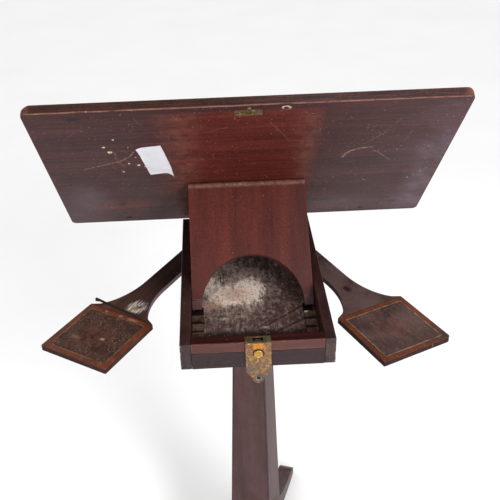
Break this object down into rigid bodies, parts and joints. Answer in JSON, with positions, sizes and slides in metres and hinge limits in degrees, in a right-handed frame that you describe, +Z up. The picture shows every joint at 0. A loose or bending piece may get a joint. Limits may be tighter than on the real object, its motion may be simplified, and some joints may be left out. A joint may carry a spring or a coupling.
{
  "type": "reading table",
  "caption": "Mahogany reading table with a tilting top on a notched prop, a shallow tray, swing-out candle arms and a sprung catch, on a tapered square column.",
  "frame": {"origin": "on the floor, under the column's axis", "axes": "+Z up; -Y towards the lock rail and the side in the picture; +Y towards the hinge side; +X to the right of that view"},
  "size_m": [0.6267, 0.5052, 1.0288],
  "materials": {
    "column_mahogany": "waxed mahogany",
    "tray_mahogany": "old waxed mahogany",
    "lock_rail_wood": "darkened wood",
    "lipping_wood": "reddish veneer strip",
    "tray_floor_wood": "bare dusty board",
    "top_mahogany": "waxed mahogany",
    "prop_mahogany": "worn mahogany",
    "arm_mahogany": "waxed mahogany",
    "arm_panel_veneer": "dark veneer",
    "arm_banding_veneer": "orange-brown crossbanding",
    "arm_stringing_veneer": "pale line inlay",
    "tarnished_brass": "mottled, tarnished",
    "dark_steel": "dull"
  },
  "bodies": {
    "base": {"column": "column_mahogany", "swivel_pin": "dark_steel", "leg_near": "column_mahogany", "leg_far": "column_mahogany", "leg_left": "column_mahogany", "leg_right": "column_mahogany"},
    "tray": {"bearer": "column_mahogany", "bearer_left_screw": "dark_steel", "bearer_right_screw": "dark_steel", "left_side": "tray_mahogany", "right_side": "tray_mahogany", "lock_rail": "lock_rail_wood", "lock_rail_lipping": "lipping_wood", "hinge_rail": "tray_mahogany", "tray_floor": "tray_floor_wood", "left_ratchet": "tray_mahogany", "right_ratchet": "tray_mahogany", "catch_plate": "tarnished_brass", "catch_block": "lock_rail_wood", "catch_screw": "dark_steel", "catch_spring": "dark_steel", "left_hinge_rail_leaf": "tarnished_brass", "right_hinge_rail_leaf": "tarnished_brass", "left_hinge_pin": "dark_steel", "right_hinge_pin": "dark_steel", "left_hinge_rail_screw_a": "dark_steel", "left_hinge_rail_screw_b": "dark_steel", "right_hinge_rail_screw_a": "dark_steel", "right_hinge_rail_screw_b": "dark_steel", "left_arm_collar": "tarnished_brass", "right_arm_collar": "tarnished_brass", "left_arm_pivot": "dark_steel", "right_arm_pivot": "dark_steel"},
    "top": {"table_top": "top_mahogany", "keeper_plate": "tarnished_brass", "keeper_left_screw": "dark_steel", "keeper_right_screw": "dark_steel", "left_hinge_top_leaf": "tarnished_brass", "right_hinge_top_leaf": "tarnished_brass", "left_hinge_top_screw_a": "dark_steel", "left_hinge_top_screw_b": "dark_steel", "right_hinge_top_screw_a": "dark_steel", "right_hinge_top_screw_b": "dark_steel", "prop_left_bracket": "tarnished_brass", "prop_right_bracket": "tarnished_brass", "prop_left_bracket_screw": "dark_steel", "prop_right_bracket_screw": "dark_steel", "prop_pin": "dark_steel"},
    "prop": {"prop_board": "prop_mahogany"},
    "left_candle_arm": {"left_arm": "arm_mahogany", "left_arm_banding": "arm_banding_veneer", "left_arm_stringing": "arm_stringing_veneer", "left_arm_panel": "arm_panel_veneer"},
    "right_candle_arm": {"right_arm": "arm_mahogany", "right_arm_banding": "arm_banding_veneer", "right_arm_stringing": "arm_stringing_veneer", "right_arm_panel": "arm_panel_veneer"},
    "catch": {"catch_button": "tarnished_brass", "catch_latch": "dark_steel"},
    "book_ledge": {"book_rest": "top_mahogany"}
  },
  "joints": [
    {"name": "tray_swivel", "type": "hinge", "parent": "base", "child": "tray", "pos_m": [0, 0, 0.66], "axis": [0, 0, 1], "continuous": true},
    {"name": "top_tilt", "type": "hinge", "parent": "tray", "child": "top", "pos_m": [0, 0.18275, 0.724], "axis": [1, 0, 0], "range_deg": [0, 52]},
    {"name": "prop_fold", "type": "hinge", "parent": "top", "child": "prop", "pos_m": [0, 0.09207, 0.83081], "axis": [1, 0, 0], "range_deg": [-93.06, 0]},
    {"name": "left_arm_swing", "type": "hinge", "parent": "tray", "child": "left_candle_arm", "pos_m": [-0.088, 0.1585, 0.6768], "axis": [0, 0, 1], "range_deg": [-58, 32]},
    {"name": "right_arm_swing", "type": "hinge", "parent": "tray", "child": "right_candle_arm", "pos_m": [0.088, 0.1585, 0.6768], "axis": [0, 0, 1], "range_deg": [-25.2, 64.8]},
    {"name": "catch_press", "type": "slide", "parent": "tray", "child": "catch", "axis": [0, 1, 0], "range_m": [0, 0.0024], "stiffness_N_per_m": 900, "springref_m": -0.0006},
    {"name": "book_rest_lift", "type": "slide", "parent": "top", "child": "book_ledge", "axis": [0, 0.788, 0.6157], "range_m": [0, 0.011]}
  ],
  "couplings": [
    {"joint": "prop_fold", "follows": "top_tilt", "ratio": -1.7892}
  ]
}
